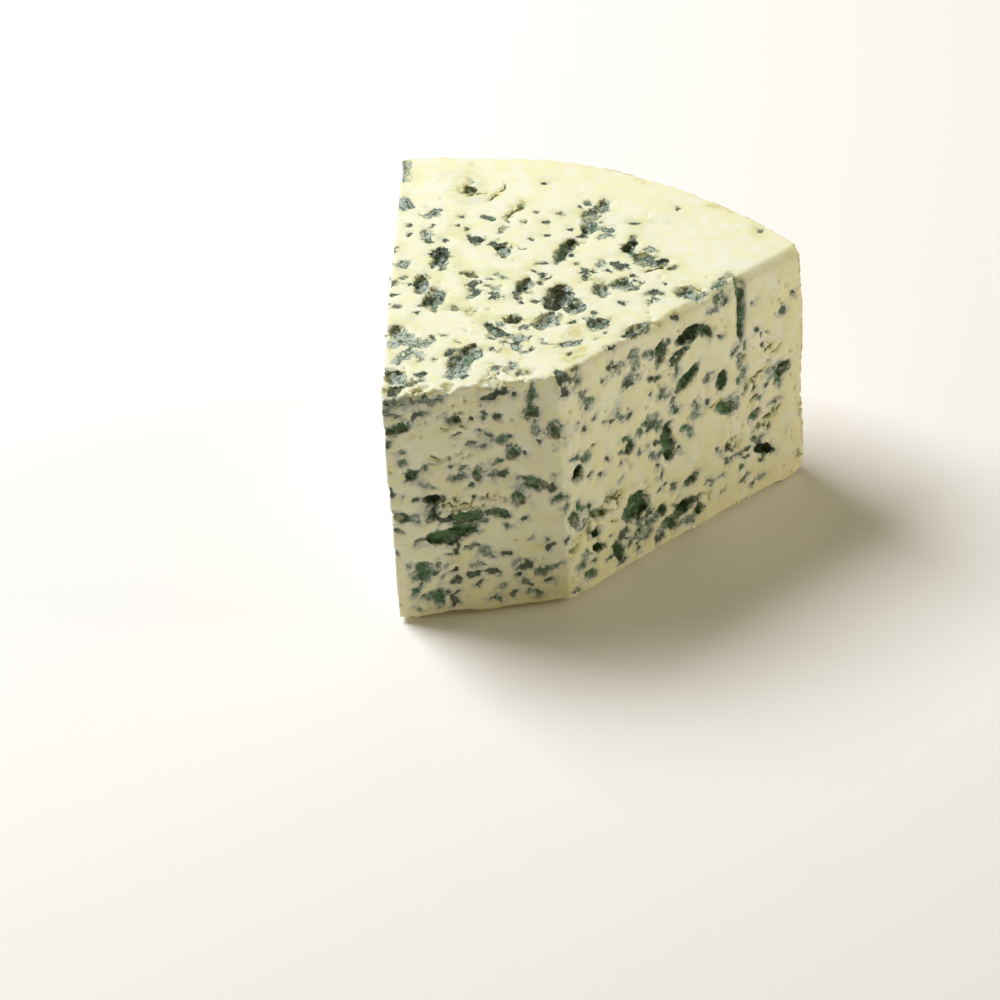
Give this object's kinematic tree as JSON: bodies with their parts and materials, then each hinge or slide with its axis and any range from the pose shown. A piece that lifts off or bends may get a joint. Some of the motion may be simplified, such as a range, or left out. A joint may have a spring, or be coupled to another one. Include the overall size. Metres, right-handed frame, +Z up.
{
  "type": "blue cheese wedge",
  "caption": "Tall wedge of blue cheese cut from a round and halved across: flat top, two long cuts, a short front cut, curved rind back and open mould pockets.",
  "frame": {"origin": "centre of the bounding box at the flat rind base that the wedge stands on", "axes": "+Z up; the curved rind faces +Y and +X, the short front cut faces -Y, and the left long cut faces -X"},
  "size_m": [0.1444, 0.1414, 0.0954],
  "materials": {
    "cheese": "moist ivory paste, slightly glossy on the fresh cuts, with blue-green mould in the pockets and a rough beige rind on the back and the base"
  },
  "bodies": {
    "root": {"blue_cheese": "cheese"}
  },
  "joints": []
}
